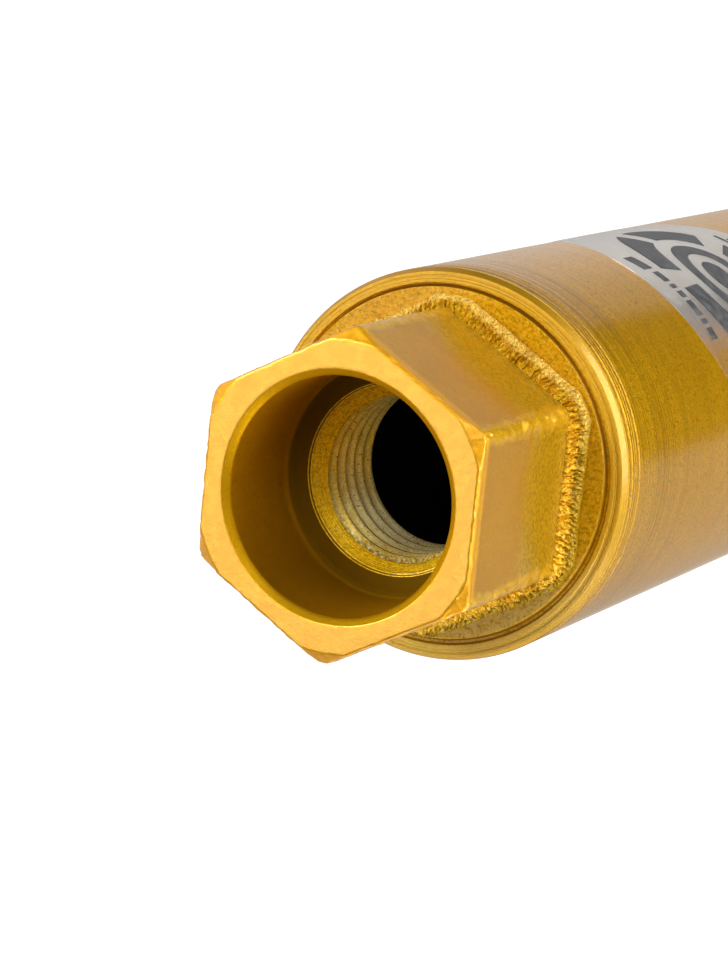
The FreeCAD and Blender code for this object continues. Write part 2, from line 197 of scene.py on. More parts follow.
def make_hub():
    angles = hub_angles()
    columns = len(angles)
    outer = np.array([hexagon_r(a, HUB_APOTHEM, EDGE_ROUND) for a in angles])
    rings = []

    def ring(radius, level):
        rings.append((np.broadcast_to(np.asarray(radius, float), (columns,)).copy(),
                      np.broadcast_to(np.asarray(level, float), (columns,)).copy()))

    # Outside, from the spigot up to the face.
    for r, z in ((THREAD_END_R, HUB_END), (12.5, HUB_END), (13.4, HUB_END), (13.6, HUB_END + 0.1),
                 (13.9, HUB_END + 0.4), (SPIGOT_R, HUB_END + 0.6), (SPIGOT_R, PLATE_FACE - 0.02)):
        ring(r, z)
    ring(14.6, PLATE_FACE + 0.01)
    ring(outer - 0.1, PLATE_FACE + 0.01)
    ring(outer, PLATE_FACE + 0.1)
    run = np.maximum(outer - CHAMFER_R, 0.30)
    drop = run * math.tan(CHAMFER_ANGLE) + 0.06
    top = HUB_FACE - drop
    for t in np.linspace(0.03, 0.985, 60):
        ring(outer, PLATE_FACE + (top - PLATE_FACE) * t)
    for t in (0.0, 0.15, 0.3, 0.45, 0.6, 0.8, 1.0):
        ring(outer - 0.16 * t * t, top - 0.38 + 0.45 * t)
    for t in (0.2, 0.4, 0.6, 0.8):
        ring(outer - 0.16 - (run - 0.24) * t, top + 0.07 + (drop - 0.12) * t)
    for t in (0.0, 0.25, 0.5, 0.75, 1.0):
        ring(outer - run - 0.32 * t + 0.08, HUB_FACE - 0.05 * (1 - t) ** 2)
    inner = MOUTH_R + 0.12
    for t in np.linspace(0.06, 1.0, 9):
        ring((outer - run - 0.24) * (1 - t) + inner * t, HUB_FACE)
    # Mouth bevel, counterbore, shoulder and thread entry.
    for r, z in ((MOUTH_R + 0.02, HUB_FACE - 0.03), (MOUTH_R - 0.06, HUB_FACE - 0.1),
                 (MOUTH_R - 0.4, HUB_FACE - 0.42), (COUNTERBORE_R + 0.05, HUB_FACE - 0.72),
                 (COUNTERBORE_R, HUB_FACE - 0.86)):
        ring(r, z)
    bore_top = HUB_FACE - 0.86
    for t in np.linspace(0.03, 1.0, 22):
        ring(COUNTERBORE_R, bore_top - (bore_top - SHOULDER - SHOULDER_ROUND) * t)
    for t in np.linspace(0.1, 1.0, 10):
        a = t * math.pi / 2
        ring(COUNTERBORE_R - SHOULDER_ROUND * (1 - math.cos(a)),
             SHOULDER + SHOULDER_ROUND * (1 - math.sin(a)))
    for t in np.linspace(0.1, 1.0, 7):
        ring((COUNTERBORE_R - SHOULDER_ROUND) * (1 - t) + (ENTRY_R + 0.42) * t, SHOULDER)
    # The entry's edge, with a fine turned groove under it.
    for r, z in ((0.36, 0.01), (0.30, 0.05), (0.22, 0.14), (0.27, 0.20), (0.25, 0.26), (0.08, 0.30),
                 (-0.01, 0.37), (-0.03, 0.46), (-0.02, 0.54), (0.04, 0.59)):
        ring(ENTRY_R + r, SHOULDER - z)
    ring(ENTRY_R + 0.04, THREAD_TOP + 0.05)
    ring(ENTRY_R, THREAD_TOP)

    # The upright edges carry runs of lacquer, so they're a little lumpy. The face's rim is uneven too.
    points = []
    for radius, level in rings:
        for j, a in enumerate(angles):
            r, z = radius[j], level[j]
            off = (a % (math.pi / 3) - math.pi / 6) * CORNER_R
            if r > 17.9 and PLATE_FACE + 0.5 < z < HUB_FACE - 0.2:
                edge = round((a - math.pi / 6) / (math.pi / 3))
                off -= 0.6 * fractal(z * 0.45, 5.0, 3.0 * edge)
                lump = 0.30 * fractal(off * 0.45, z * 0.6, 11.0 + 3 * edge, 4)
                r += lump * math.exp(-(off / 1.3) ** 2) - 0.02
                r += 0.012 * fractal(off * 0.4, z * 0.35, 3.0 * edge)
            if r > 17.4 and HUB_FACE - 1.4 < z < HUB_FACE - 0.01:
                r += 0.12 * fractal(r * math.cos(a) * 0.9, r * math.sin(a) * 0.9, z * 0.5, 4) - 0.04
            points.append(polar(r, a, z))
    faces = grid_faces(len(rings), columns)

    # The thread: rows follow the helix, and each end runs into its bevel. Its first turns are torn.
    phases = [0.0, 0.025, 0.05, 0.08, 0.14, 0.22, 0.30, 0.38, 0.45, 0.48, 0.52, 0.55, 0.62, 0.70, 0.78,
              0.86, 0.92, 0.95, 0.975]
    per_turn = len(phases)
    turns = int((THREAD_TOP - THREAD_BOTTOM) / THREAD_PITCH) + 3
    first = len(points)
    highest = THREAD_TOP + THREAD_PITCH
    for turn in range(turns):
        for phase in phases:
            for a in angles:
                z = highest - (turn + phase) * THREAD_PITCH + THREAD_PITCH * a / TAU
                z = min(max(z, THREAD_BOTTOM), THREAD_TOP)
                depth = LEAD_IN_TOP - z
                lead_in = ENTRY_R - 1.15 * max(0.0, depth)
                back = THREAD_END_R - max(0.0, z - THREAD_BOTTOM)
                x, y = math.cos(a), math.sin(a)
                wear = 0.02 * fractal(x * 9, y * 9, z * 1.3)
                side = 0.25 + 0.75 * max(0.0, math.cos(a - TORN_SIDE))
                burr = math.exp(-((depth - 1.9) / 0.9) ** 2) * side
                chip = max(0.0, noise.noise(Vector((x * 19, y * 19, z * 2.6)))) * burr
                r = thread_r(phase) + wear + 0.45 * chip
                if z in (THREAD_BOTTOM, THREAD_TOP):
                    r = 0
                r = max(r, lead_in, back)
                points.append((r * x, r * y, z))
    # The last column joins the first one, a turn further up.
    for i in range(turns * per_turn - 1):
        for j in range(columns):
            right = (j + 1) % columns
            row = i if right else i - per_turn
            if row >= 0:
                faces.append((first + i * columns + j, first + row * columns + right,
                              first + (row + 1) * columns + right, first + (i + 1) * columns + j))
    return make_mesh("hub_body", points, faces, sharp=math.radians(32))


hub = make_hub()
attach(hub, "root")
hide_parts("hub")


# The weld round the hub's foot.

FOOT_APOTHEM = 19.75
FOOT_ROUND = 3.2
FOOT_LIMIT = 21.75
RIPPLE_PITCH = 0.66
BEAD_T = (0.0, 0.10, 0.20, 0.35, 0.50, 0.60, 0.90, 1.0)
BEAD_OUT = (1.0, 1.05, 1.00, 0.84, 0.64, 0.52, 0.10, -0.02)
BEAD_UP = (0.0, 0.16, 0.34, 0.48, 0.55, 0.60, 0.97, 1.0)


def make_weld():
    """A fillet weld with the curved ripples that the arc leaves, laid round the hexagon."""
    length = 6 * 2 * HUB_APOTHEM * math.tan(math.pi / 6)
    columns = 1500
    across = 26
    points = []
    for i in range(across + 1):
        t = i / across
        for j in range(columns):
            a = TAU * j / columns
            s = length * j / columns
            foot = min(hexagon_r(a, FOOT_APOTHEM, FOOT_ROUND), FOOT_LIMIT)
            foot += 0.22 * fractal(math.cos(a) * 3.1, math.sin(a) * 3.1, 4.0)
            wall = hexagon_r(a, HUB_APOTHEM, EDGE_ROUND) - 0.05
            rise = 3.15 + 0.35 * fractal(math.cos(a) * 4.3, math.sin(a) * 4.3, 9.0)
            # The bead's outline, from its foot on the plate (t = 0) to the groove along the hub (t = 1).
            out = float(np.interp(t, BEAD_T, BEAD_OUT))
            up = float(np.interp(t, BEAD_T, BEAD_UP))
            r = wall + (foot - wall) * out
            z = PLATE_FACE + rise * up
            swell = math.sin(math.pi * t)
            # Ripples: each lies back from the middle of the bead, and they are tight and uneven.
            # From t = 0.5 on they stand out like a comb.
            lag = 0.5 * (2 * t - 1) ** 2
            wave = (s + lag + 0.6 * fractal(s * 0.8, t * 2.5, 2.0)) / RIPPLE_PITCH
            saw = wave - math.floor(wave)
            ripple = (1 - saw) ** 1.3 - 0.45
            comb = min(1.0, max(0.0, (t - 0.42) / 0.14))
            size = 0.30 + comb * 0.34 + (0.15 + comb * 0.10) * fractal(s * 0.5, t * 1.5, 7.0)
            grain = (0.17 + 0.06 * comb) * fractal(s * 3.4, t * 10.0, 3.0, 4)
            lump = 0.20 * fractal(s * 0.42, t * 1.2, 5.0)
            proud = lump * swell + (ripple * size + grain) * min(1.0, 5 * t + 0.2, 7 * (1 - t) + 0.25)
            r += proud * 0.85
            z += proud * 0.52
            points.append(polar(r, a, max(z, PLATE_FACE - 0.02)))
    # Two rows inside the hub close the bead.
    for level in (PLATE_FACE + 2.2, PLATE_FACE):
        for j in range(columns):
            a = TAU * j / columns
            points.append(polar(hexagon_r(a, HUB_APOTHEM, EDGE_ROUND) - 0.3, a, level))
    return make_mesh("weld_bead", points, grid_faces(across + 3, columns, wrap_rows=True),
                     sharp=math.radians(60))


weld = make_weld()
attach(weld, "root")
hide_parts("hub_weld")


# The end plate.

def plate_shift(a, r, z):
    """The plate's land is slightly out of centre, and its faces are a little uneven."""
    dr = 0.0
    dz = 0.0
    if z > 367.0 and 21.0 < r < 23.2:
        dr = 0.3 * math.cos(a - math.radians(110)) * min(1.0, (23.2 - r) / 0.5)
    if z > PLATE_FACE - 0.02 and r < 22.3:
        x, y = r * math.cos(a), r * math.sin(a)
        dz = 0.03 * fractal(x * 2.2, y * 2.2, 1.0, 4)
    return dr, dz


def make_plate():
    """The plug in the barrel, the flange, and the rim's chamfer, terraces, ridge, groove and land."""
    corners = [
        (PLATE_BORE_R, PLATE_BACK, 0.1, 4),
        (21.95, PLATE_BACK, 0.1, 1),
        (PLUG_R, PLATE_BACK + 0.8, 0.1, 2),
        (PLUG_R, FLANGE_ROOT, 0.1, 1),
        (24.98, SEAM_TOP, 0.08, 1),
        (25.0, 367.14, 0.1, 2),
        (24.50, 368.06, 0.08, 1),
        (24.12, 368.07, 0.02, 1),
        (24.07, 368.00, 0.02, 1),
        (23.95, 368.00, 0.02, 1),
        (23.90, 368.08, 0.02, 1),
        (23.64, 368.08, 0.03, 1),
        (23.54, 368.22, 0.03, 1),
        (23.02, 368.20, 0.06, 1),
        (22.86, 367.88, 0.05, 1),
        (22.66, 367.84, 0.05, 1),
        (22.36, 368.44, 0.06, 1),
        (22.22, PLATE_FACE - 0.01, 0.10, 26),
        (PLATE_BORE_R, PLATE_FACE, 0.05, 2),
    ]
    return lathe("turned_plate", corners, plate_shift)


plate = make_plate()
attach(plate, "root")
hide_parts("end_plate")


# The seam between barrel and plate.

def make_seam():
    """A ring with five turned grooves, each given by its level, half width and depth."""
    corners = [
        (PLUG_R, FLANGE_ROOT, 0.02, 1),
        (PLUG_R, BARREL_END, 0.02, 1),
        (24.97, SEAM_BOTTOM + 0.02, 0.02, 1),
    ]
    grooves = ((363.35, 0.22, 0.07), (364.3, 0.30, 0.09), (364.95, 0.16, 0.04), (365.75, 0.30, 0.10),
               (366.25, 0.14, 0.04))
    for level, half, depth in grooves:
        corners += [(BARREL_R, level - half, 0.04, 1), (BARREL_R - depth, level, 0.05, 1),
                    (BARREL_R, level + half, 0.04, 1)]
    corners += [(24.97, SEAM_TOP - 0.02, 0.02, 1)]
    return lathe("turned_seam", corners)


seam = make_seam()
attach(seam, "root")
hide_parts("barrel_seam_weld")


# The barrel.

def barrel_shift(a, r, z):
    """The drawn tube is slightly uneven outside, but not at the seam."""
    if r < 24 or z > PLATE_BACK:
        return 0.0, 0.0
    return 0.02 * fractal(math.cos(a) * 1.2, math.sin(a) * 1.2, z * 0.03), 0.0


def make_barrel():
    """The tube, whose upper end is cut at a slant for the seam."""
    corners = [
        (BORE_R, BARREL_START, 0.15, 1),
        (BARREL_R, BARREL_START, 0.15, 70),
        (BARREL_R, SEAM_BOTTOM, 0.05, 1),
        (BORE_R, BARREL_END, 0.05, 12),
    ]
    return lathe("barrel_tube", corners, barrel_shift)


barrel = make_barrel()
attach(barrel, "root")
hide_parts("barrel")


# The crown: sintered segments and their solder.

SEGMENT_COUNT = 5
SEGMENT_INNER = 22.0
SEGMENT_OUTER = 25.5
SEGMENT_ANGLE = 24.0 / SEGMENT_OUTER
SEGMENT_TOP = 10.0
SEGMENT_ROUND = 0.45
GRIT_COUNT = 230
SOLDER_LEVEL = 10.05
SOLDER_LIMIT = 11.2
SOLDER_MIDDLE = 23.9


def rounded_box_points(half, steps, rounding):
    """Points and quads of a box with rounded edges, finer near the edges."""
    def ticks(h, n):
        inner = np.linspace(-(h - rounding), h - rounding, n)
        edge = rounding * np.array([0.0, 0.35, 0.7])
        return np.concatenate([-h + edge, inner, (h - edge)[::-1]])
    lines = [ticks(h, n) for h, n in zip(half, steps)]
    points, faces = [], []
    for axis in range(3):
        u, v = (axis + 1) % 3, (axis + 2) % 3
        for side in (-1, 1):
            start = len(points)
            for p in lines[u]:
                for q in lines[v]:
                    spot = np.zeros(3)
                    spot[axis], spot[u], spot[v] = side * half[axis], p, q
                    points.append(spot)
            faces += grid_faces(len(lines[u]), len(lines[v]), wrap_columns=False, first=start)
    limit = np.array(half) - rounding
    shaped = []
    for spot in points:
        core = np.clip(spot, -limit, limit)
        away = spot - core
        shaped.append(core + rounding * away / np.linalg.norm(away))
    return shaped, faces


def make_segment(index):
    """A sintered segment: a worn metal block with diamond grit standing out of it."""
    turn = TAU * index / SEGMENT_COUNT
    middle_r = (SEGMENT_INNER + SEGMENT_OUTER) / 2
    half = (SEGMENT_ANGLE * middle_r / 2, (SEGMENT_OUTER - SEGMENT_INNER) / 2 - 0.06, SEGMENT_TOP / 2 - 0.05)
    block, faces = rounded_box_points(half, (60, 12, 28), SEGMENT_ROUND)
    key = index * 31.0
    points = []

    def place(along, out, up):
        return polar(middle_r + out, turn + along / middle_r, SEGMENT_TOP / 2 + 0.05 + up)

    for along, out, up in block:
        rough = 0.06 * fractal(along * 1.7 + key, out * 1.7, up * 1.7, 4)
        pit = min(0.0, noise.noise(Vector((along * 2.6 + key, out * 2.6, up * 2.6))) + 0.35) * 0.25
        points.append(place(along, out * (1 + (rough + pit) * 0.55), min(up, half[2]) * (1 + rough * 0.012)))
    random = np.random.RandomState(40 + index)
    for _ in range(GRIT_COUNT):
        size = random.uniform(0.13, 0.24)
        side = random.choice(4, p=(0.32, 0.28, 0.30, 0.10))
        along = random.uniform(-half[0] + 0.4, half[0] - 0.4)
        out = random.uniform(-half[1] + 0.3, half[1] - 0.3)
        up = random.uniform(-half[2] + 0.4, half[2] - 0.8)
        if side == 0:
            out = half[1] - 0.03
        elif side == 1:
            out = -half[1] + 0.03
        elif side == 2:
            up = -half[2] + 0.05 + size * 0.45
        else:
            along = random.choice((-1, 1)) * half[0]
        centre = Vector(place(along, out, up))
        spin = Matrix.Rotation(random.uniform(0, TAU), 3, Vector(random.normal(size=3)).normalized())
        first = len(points)
        # A blunt octahedron, the habit of a synthetic diamond.
        for corner in ((1, 0, 0), (-1, 0, 0), (0, 1, 0), (0, -1, 0), (0, 0, 1), (0, 0, -1)):
            spot = centre + spin @ (Vector(corner) * size)
            points.append((spot.x, spot.y, max(spot.z, 0.0)))
        for a, b in ((0, 2), (2, 1), (1, 3), (3, 0)):
            faces.append((first + a, first + b, first + 4))
            faces.append((first + b, first + a, first + 5))
    return make_mesh(f"diamond_segment_{index + 1}", points, faces, sharp=math.radians(50))


def make_solder(index):
    """The silver solder under one segment, with a small uneven fillet on each side of the wall."""
    turn = TAU * index / SEGMENT_COUNT
    # Radius and level of the cross-section's corners, from the inside out.
    section = ((22.4, 9.9), (22.45, 10.06), (22.6, 10.2), (22.72, 10.42), (22.78, 10.75), (22.9, 10.8),
               (24.9, 10.8), (25.03, 10.72), (25.06, 10.4), (25.16, 10.18), (25.3, 10.05), (25.36, 9.9))
    steps = 90
    points = []
    for r, z in section:
        for j in range(steps + 1):
            a = turn + SEGMENT_ANGLE * (j / steps - 0.5) * 0.998
            uneven = fractal(a * BARREL_R * 0.55, r, 3.0 + index, 3)
            outward = math.copysign(1.0, r - SOLDER_MIDDLE)
            wall = BARREL_R if r > SOLDER_MIDDLE else BORE_R
            new_r = r + outward * 0.1 * uneven if abs(r - wall) > 0.1 else r
            new_z = z
            if z > SOLDER_LEVEL:
                new_z = min(SOLDER_LEVEL + (z - SOLDER_LEVEL) * (1 + 0.7 * uneven), SOLDER_LIMIT)
            points.append(polar(new_r, a, new_z))
    rows = len(section)
    faces = grid_faces(rows, steps + 1, wrap_columns=False, wrap_rows=True)
    faces.append([i * (steps + 1) for i in range(rows)])
    faces.append([i * (steps + 1) + steps for i in reversed(range(rows))])
    return make_mesh(f"solder_fillet_{index + 1}", points, faces)


segments = []
solders = []
for number in range(SEGMENT_COUNT):
    segment = make_segment(number)
    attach(segment, "root")
    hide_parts(f"segment_{number + 1}")
    segments.append(segment)
    solder = make_solder(number)
    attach(solder, "root")
    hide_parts(f"braze_joint_{number + 1}")
    solders.append(solder)


# The label: a clear film wrapped on the barrel, and generic print on it.

LABEL_MIDDLE = 308.1
LABEL_RADIUS = 24.5
LABEL_ANGLE = math.radians(58)
LABEL_FILM = 0.08
PRINT_LIFT = 0.012
PRINT_THICKNESS = 0.01


def on_label(u, v, lift):
    """A point of the wrapped label: u runs round the barrel, v along it, in millimetres."""
    return polar(BARREL_R + lift, LABEL_ANGLE + u / BARREL_R, LABEL_MIDDLE + v)


def make_label():
    """The film: its outer side first, with a soft edge and a few raised places, then its inner side."""
    rings = [0.0] + list(np.linspace(0.06, 0.98, 30)) + [0.992, 0.998, 1.0]
    around = 160
    points = []
    for side in (1, 0):
        for q in rings if side else rings[::-1]:
            for j in range(around):
                a = TAU * j / around
                u, v = q * LABEL_RADIUS * math.cos(a), q * LABEL_RADIUS * math.sin(a)
                lift = 0.01
                if side:
                    lift = LABEL_FILM - 0.05 * max(0.0, (q - 0.985) / 0.015) ** 2
                    lift += 0.018 * max(0.0, fractal(u * 0.22, v * 0.22, 6.0))
                points.append(on_label(u, v, lift))
    return make_mesh("label_film_disc", points, grid_faces(2 * len(rings), around))


label = make_label()
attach(label, "root")
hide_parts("label")


def make_print():
    """Generic print: five thick arcs round a ring, a row of blocks and three bars."""
    points, faces = [], []
    lift = LABEL_FILM + PRINT_LIFT
    across = 9

    def patch(outline_in, outline_out):
        first = len(points)
        count = len(outline_in)
        for t in np.linspace(0, 1, across):
            for start, stop in zip(outline_in, outline_out):
                u, v = (start[k] * (1 - t) + stop[k] * t for k in (0, 1))
                points.append(on_label(u, v, lift))
        faces.extend(grid_faces(across, count, wrap_columns=False, first=first))

    def arc(radius, width, start, end, steps=90):
        turn = [math.radians(start + (end - start) * k / steps) for k in range(steps + 1)]
        inner, outer = radius - width / 2, radius + width / 2
        patch([(inner * math.cos(t), inner * math.sin(t)) for t in turn],
              [(outer * math.cos(t), outer * math.sin(t)) for t in turn])

    def bar(u0, v0, u1, v1, steps=12):
        along = [u0 + (u1 - u0) * k / steps for k in range(steps + 1)]
        patch([(u, v0) for u in along], [(u, v1) for u in along])

    for k in range(5):
        arc(13.0, 5.2, 20 + 72 * k, 76 + 72 * k, steps=40)
    arc(6.6, 2.6, 0, 360)
    arc(1.6, 3.2, 0, 360, steps=40)
    start = -9.0
    for wide, gap in ((1.8, 0.6), (0.8, 0.6), (2.6, 0.6), (1.2, 0.6), (0.8, 0.6), (2.2, 0.8), (3.4, 0.8)):
        high = 3.0 if wide > 3 else 1.9
        bar(start, 17.4, start + wide, 17.4 + high, steps=4)
        start += wide + gap
    for k, half in enumerate((8.5, 7.0, 5.0)):
        bar(-half, -18.0 - 1.6 * k, half, -17.1 - 1.6 * k)
    piece = make_mesh("label_print", points, faces)
    solid = piece.modifiers.new("ink", "SOLIDIFY")
    solid.thickness = PRINT_THICKNESS * MM
    solid.offset = 1
    return piece


ink = make_print()
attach(ink, "root")


# Materials. Radii, levels and other places are in metres here, as the nodes see them.

class Tree:
    """A short way to build nodes."""

    def __init__(self, tree):
        self.tree = tree

    def add(self, kind, **settings):
        node = self.tree.nodes.new(kind)
        for key, value in settings.items():
            setattr(node, key, value)
        return node

    def link(self, source, target):
        self.tree.links.new(source, target)

    def put(self, target, value):
        """Links a socket to an input, or sets the input to a value."""
        if isinstance(value, bpy.types.NodeSocket):
            self.link(value, target)
        else:
            target.default_value = value

    def math(self, operation, a, b=0.0, clamp=False):
        node = self.add("ShaderNodeMath", operation=operation, use_clamp=clamp)
        self.put(node.inputs[0], a)
        self.put(node.inputs[1], b)
        return node.outputs[0]

    def times(self, a, b):
        return self.math("MULTIPLY", a, b)

    def plus(self, a, b):
        return self.math("ADD", a, b)

    def minus(self, a, b, clamp=False):
        return self.math("SUBTRACT", a, b, clamp)

    def span(self, value, low, high, new_low=0.0, new_high=1.0):
        """Fades smoothly from new_low to new_high while the value goes from low to high."""
        node = self.add("ShaderNodeMapRange", interpolation_type="SMOOTHSTEP")
        self.put(node.inputs["Value"], value)
        node.inputs["From Min"].default_value = low
        node.inputs["From Max"].default_value = high
        node.inputs["To Min"].default_value = new_low
        node.inputs["To Max"].default_value = new_high
        return node.outputs["Result"]


class Nodes(Tree):
    """A material's nodes."""

    def __init__(self, name):
        self.material = bpy.data.materials.new(name)
        self.material.use_nodes = True
        super().__init__(self.material.node_tree)
        self.shader = self.tree.nodes["Principled BSDF"]
        self.position = self.add("ShaderNodeTexCoord").outputs["Object"]

    def set(self, name, value):
        self.put(self.shader.inputs[name], value)

    def axes(self):
        """The position's x, y and z."""
        split = self.add("ShaderNodeSeparateXYZ")
        self.link(self.position, split.inputs[0])
        return tuple(split.outputs)

    def distance(self, x, y):
        return self.math("SQRT", self.plus(self.times(x, x), self.times(y, y)))

    def stretch(self, factors):
        """The position with each axis scaled, for noise that is drawn out."""
        node = self.add("ShaderNodeVectorMath", operation="MULTIPLY")
        self.link(self.position, node.inputs[0])
        node.inputs[1].default_value = factors
        return node.outputs[0]

    def noise(self, scale, detail=2.0, roughness=0.5, vector=None):
        node = self.add("ShaderNodeTexNoise")
        self.link(vector or self.position, node.inputs["Vector"])
        node.inputs["Scale"].default_value = scale
        node.inputs["Detail"].default_value = detail
        node.inputs["Roughness"].default_value = roughness
        return node.outputs["Fac"]

    def mix(self, factor, a, b):
        """A colour between two others, which are sockets or (red, green, blue)."""
        node = self.add("ShaderNodeMix", data_type="RGBA")
        self.put(node.inputs["Factor"], factor)
        sockets = [socket for socket in node.inputs if socket.type == "RGBA"]
        for socket, value in zip(sockets, (a, b)):
            self.put(socket, value + (1.0,) if isinstance(value, tuple) else value)
        return next(socket for socket in node.outputs if socket.type == "RGBA")

    def bump(self, height, distance):
        node = self.add("ShaderNodeBump")
        node.inputs["Distance"].default_value = distance
        self.link(height, node.inputs["Height"])
        return node.outputs["Normal"]


GOLD = (0.90, 0.47, 0.005)
DEEP_GOLD = (0.76, 0.36, 0.003)
PALE_GOLD = (0.97, 0.57, 0.02)
EDGE_GOLD = (1.0, 0.64, 0.02)


class Lacquer(Nodes):
    """Gold metallic lacquer with flakes and uneven cover. The functions below add marks to it, and some of
    them add painted light and shade.
    """

    def __init__(self, name, grain, roughness, metal):
        super().__init__(name)
        self.x, self.y, self.level = self.axes()
        self.radius = self.distance(self.x, self.y)
        self.roughness = roughness
        self.metal = metal
        self.cloud = self.noise(90.0, 4.0, 0.6)
        self.flakes = self.noise(5200.0, 1.0, 0.5)
        self.specks = self.noise(2100.0, 2.0, 0.6)
        self.tone = self.mix(self.span(self.cloud, 0.20, 0.75, 0.25, 1.0), DEEP_GOLD, GOLD)
        self.tint(self.span(self.flakes, 0.50, 0.75, 0.0, 0.7), PALE_GOLD)
        self.tint(self.span(self.specks, 0.56, 0.72, 0.0, 0.28), (0.36, 0.19, 0.008))
        self.height = self.times(self.flakes, 0.7 * grain)
        self.rough = self.span(self.specks, 0.3, 0.7, roughness - 0.02, roughness + 0.03)

    def tint(self, factor, colour):
        self.tone = self.mix(factor, self.tone, colour)

    def emboss(self, value, amount):
        self.height = self.plus(self.height, self.times(value, amount))

    def turned_position(self):
        """Radius and level as a vector, for noise that makes rings."""
        ring = self.add("ShaderNodeCombineXYZ")
        self.link(self.radius, ring.inputs[0])
        self.link(self.level, ring.inputs[1])
        return ring.outputs[0]

    def corner_distance(self):
        """Distance round the hub from its nearest upright edge, with a ragged outline."""
        angle = self.math("ARCTAN2", self.y, self.x)
        turn = self.math("MODULO", self.plus(angle, TAU), math.pi / 3)
        off = self.math("ABSOLUTE", self.minus(turn, math.pi / 6))
        ragged = self.times(self.noise(700.0, 3.0, 0.6), 0.0022)
        return self.minus(self.plus(self.times(off, 0.0205), ragged), 0.0008)


def tube_marks(m):
    """Turned lines, strongest next to the plate, coarse grain, and a heat tint above the crown."""
    streak = m.noise(1.0, 4.0, 0.7, m.stretch((9.0, 9.0, 2600.0)))
    fine = m.noise(1.0, 2.0, 0.6, m.stretch((40.0, 40.0, 12000.0)))
    band = m.noise(1.0, 2.0, 0.5, m.stretch((3.0, 3.0, 420.0)))
    near = m.span(m.level, 0.330, 0.364, 0.05, 1.0)
    m.emboss(m.plus(m.times(streak, 1.6), fine), near)
    m.emboss(m.specks, 1.5)
    m.emboss(m.flakes, 2.0)
    scratch = m.times(m.span(streak, 0.48, 0.60), m.span(m.specks, 0.62, 0.42, 0.35, 1.0))
    m.tint(m.times(scratch, near), (0.24, 0.12, 0.002))
    coarse = m.times(m.span(m.specks, 0.50, 0.64, 0.0, 0.55), m.span(m.level, 0.300, 0.360, 0.3, 1.0))
    m.tint(coarse, (0.34, 0.18, 0.003))
    m.tint(m.span(band, 0.42, 0.66, 0.0, 0.25), (0.55, 0.29, 0.003))
    heat = m.span(m.plus(m.level, m.times(m.cloud, 0.006)), 0.012, 0.021, 0.75, 0.0)
    m.tint(heat, (0.20, 0.10, 0.04))


def plate_marks_and_painted_light(m):
    """Turned lines and a pale ridge. The land inside them has a scaly skin. Toward -y the plate is painted
    paler, painted light.
    """
    fibre = m.noise(2200.0, 5.0, 0.75)
    m.emboss(m.noise(9000.0, 2.0, 0.6, m.turned_position()), 0.5)
    m.emboss(fibre, 9.0)
    m.tint(m.span(m.radius, 0.0229, 0.0234, 0.0, 0.7), (1.0, 0.62, 0.06))
    m.tint(m.span(fibre, 0.50, 0.36, 0.0, 0.7), (1.0, 0.62, 0.05))
    # Painted light: the plate is painted paler toward -y.
    m.tint(m.span(m.y, -0.006, -0.016, 0.0, 0.65), (1.0, 0.72, 0.12))
    land = m.span(m.radius, 0.0231, 0.0228, 0.15, 0.75)
    m.tint(m.times(m.span(fibre, 0.50, 0.62), land), (0.42, 0.23, 0.004))


def rim_painted_shade(m):
    """Painted shade: the rim outside the groove is painted darker, most toward -y short of the very bottom,
    the groove is painted darker toward +y, and the rim's lowest edge carries a painted shadow on the -y
    side.
    """
    # Painted shade on the rim outside the groove, deepest toward -y and fading again at the very bottom.
    shade = m.times(m.span(m.y, 0.004, -0.014, 0.55, 0.80), m.span(m.y, -0.023, -0.017, 0.15, 1.0))
    m.tint(m.times(shade, m.span(m.radius, 0.0232, 0.0240)), (0.36, 0.21, 0.02))
    # Painted shade in the groove, deeper toward +y.
    groove = m.times(m.span(m.y, 0.013, 0.020, 0.50, 0.85), m.span(m.radius, 0.0231, 0.0229))
    m.tint(groove, (0.20, 0.11, 0.003))
    # A painted shadow along the rim's lowest edge on the -y side.
    below = m.times(m.span(m.y, -0.014, -0.020), m.span(m.level, 0.3674, 0.3672))
    m.tint(m.times(below, 0.9), (0.10, 0.06, 0.003))


